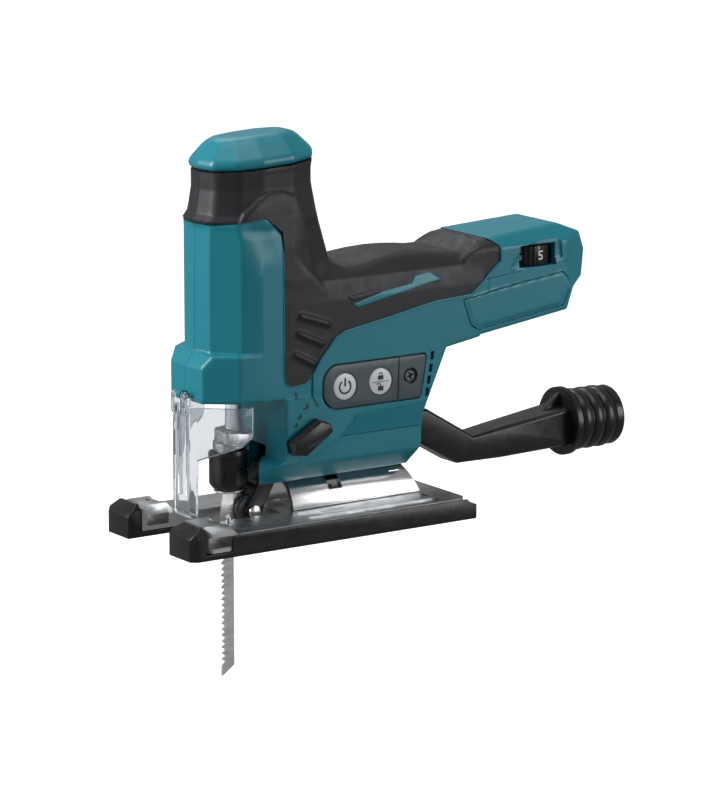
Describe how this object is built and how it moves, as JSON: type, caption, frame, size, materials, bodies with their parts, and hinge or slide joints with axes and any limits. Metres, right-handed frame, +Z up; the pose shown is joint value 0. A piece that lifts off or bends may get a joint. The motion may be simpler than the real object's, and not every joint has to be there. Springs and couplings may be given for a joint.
{
  "type": "cordless jigsaw",
  "caption": "Cordless barrel-grip jigsaw with a clear blade guard, a twist-lock blade clamp, an orbital-action lever, a bevelling base and a rear dust nozzle.",
  "frame": {"origin": "where the blade's line crosses the underside of the sole, on the tool's plane of symmetry", "axes": "+Z up from the workpiece, -Y the cutting direction, +X the tool's left side with the switch panel"},
  "size_m": [0.077, 0.2655, 0.2556],
  "materials": {
    "teal_plastic": "fine moulded texture",
    "rubber": "matte overmould",
    "grey_plastic": "satin",
    "pale_plastic": "satin",
    "black_plastic": "satin",
    "dark_steel": "blackened",
    "steel": "ground",
    "bright_metal": "polished",
    "cast_aluminium": "cast",
    "bronze": "sintered",
    "copper_winding": "enamelled",
    "circuit_board": "lacquered",
    "clear_plastic": "clear polycarbonate"
  },
  "bodies": {
    "housing": {"housing_left": "teal_plastic", "housing_right": "teal_plastic", "grip_left": "rubber", "grip_right": "rubber", "knob_cap": "teal_plastic", "switch_panel": "grey_plastic", "panel_screw": "dark_steel", "housing_screw_1": "dark_steel", "housing_screw_2": "dark_steel", "housing_screw_3": "dark_steel", "housing_screw_4": "dark_steel", "housing_screw_5": "dark_steel", "housing_screw_6": "dark_steel", "led_lens": "clear_plastic", "guard_pin": "steel", "holder_pivot": "steel", "stator": "copper_winding", "bearing_front": "steel", "bearing_rear": "steel", "gear_axle": "steel", "gear_case": "cast_aluminium", "lower_bush": "bronze", "upper_bush": "bronze", "control_board": "circuit_board", "potentiometer": "grey_plastic", "switch_board": "circuit_board", "terminal_block": "black_plastic", "base_bolt": "dark_steel", "arch_clamp": "steel"},
    "motor_rotor": {"rotor": "dark_steel", "motor_shaft": "steel", "fan": "black_plastic", "pinion": "steel"},
    "crank": {"crank_gear": "dark_steel", "crank_pin": "steel", "balance_weight": "steel"},
    "plunger": {"plunger_rod": "steel", "yoke": "dark_steel", "blade_clamp": "steel", "clamp_spring": "steel", "clamp_ring": "bright_metal", "blade": "steel"},
    "sleeve": {"clamp_sleeve": "black_plastic"},
    "fork": {"roller_holder": "grey_plastic", "roller_pin": "bright_metal"},
    "roller_wheel": {"roller": "grey_plastic"},
    "lever": {"orbital_lever": "black_plastic", "lever_shaft": "steel"},
    "dial": {"speed_dial": "black_plastic"},
    "power_key": {"power_button": "pale_plastic"},
    "lock_key": {"lock_button": "grey_plastic"},
    "guard_cover": {"guard": "clear_plastic"},
    "base": {"base_plate": "cast_aluminium", "bevel_arch": "bright_metal", "sole_cover": "black_plastic", "rule_stud": "steel"},
    "nozzle": {"dust_nozzle": "black_plastic"}
  },
  "joints": [
    {"name": "motor_spin", "type": "hinge", "parent": "housing", "child": "motor_rotor", "pos_m": [0, 0, 0.0805], "axis": [0, 1, 0], "continuous": true},
    {"name": "crank_spin", "type": "hinge", "parent": "housing", "child": "crank", "pos_m": [0, 0, 0.1015], "axis": [0, 1, 0], "continuous": true},
    {"name": "plunger_slide", "type": "slide", "parent": "housing", "child": "plunger", "axis": [0, 0, 1], "range_m": [0, 0.018]},
    {"name": "clamp_twist", "type": "hinge", "parent": "plunger", "child": "sleeve", "pos_m": [0, -0.001, 0], "axis": [0, 0, 1], "range_deg": [0, 60], "stiffness_Nm_per_rad": 0.02, "springref_deg": -11.46},
    {"name": "fork_swing", "type": "hinge", "parent": "housing", "child": "fork", "pos_m": [0, 0.019, 0.029], "axis": [1, 0, 0], "range_deg": [0, 8], "stiffness_Nm_per_rad": 0.5, "springref_deg": -5.73},
    {"name": "roller_spin", "type": "hinge", "parent": "fork", "child": "roller_wheel", "pos_m": [0, 0.0089, 0.011], "axis": [1, 0, 0], "continuous": true},
    {"name": "orbital_select", "type": "hinge", "parent": "housing", "child": "lever", "pos_m": [0, 0.033, 0.051], "axis": [-1, 0, 0], "range_deg": [0, 85]},
    {"name": "speed_select", "type": "hinge", "parent": "housing", "child": "dial", "pos_m": [0.0133, 0.1592, 0.119], "axis": [0, 0, 1], "range_deg": [-54, 216]},
    {"name": "power_press", "type": "slide", "parent": "housing", "child": "power_key", "axis": [-1, 0, 0], "range_m": [0, 0.0008], "stiffness_N_per_m": 1500, "springref_m": -0.0005},
    {"name": "lock_press", "type": "slide", "parent": "housing", "child": "lock_key", "axis": [-1, 0, 0], "range_m": [0, 0.0008], "stiffness_N_per_m": 1500, "springref_m": -0.0005},
    {"name": "guard_swing", "type": "hinge", "parent": "housing", "child": "guard_cover", "pos_m": [0, -0.0264, 0.0695], "axis": [-1, 0, 0], "range_deg": [0, 60]},
    {"name": "base_tilt", "type": "hinge", "parent": "housing", "child": "base", "pos_m": [0, 0, 0.011], "axis": [0, 1, 0], "range_deg": [-45, 45]},
    {"name": "nozzle_pull", "type": "slide", "parent": "housing", "child": "nozzle", "axis": [0, 1, 0], "range_m": [0, 0.03]}
  ],
  "couplings": [
    {"joint": "motor_spin", "follows": "crank_spin", "ratio": -6}
  ]
}
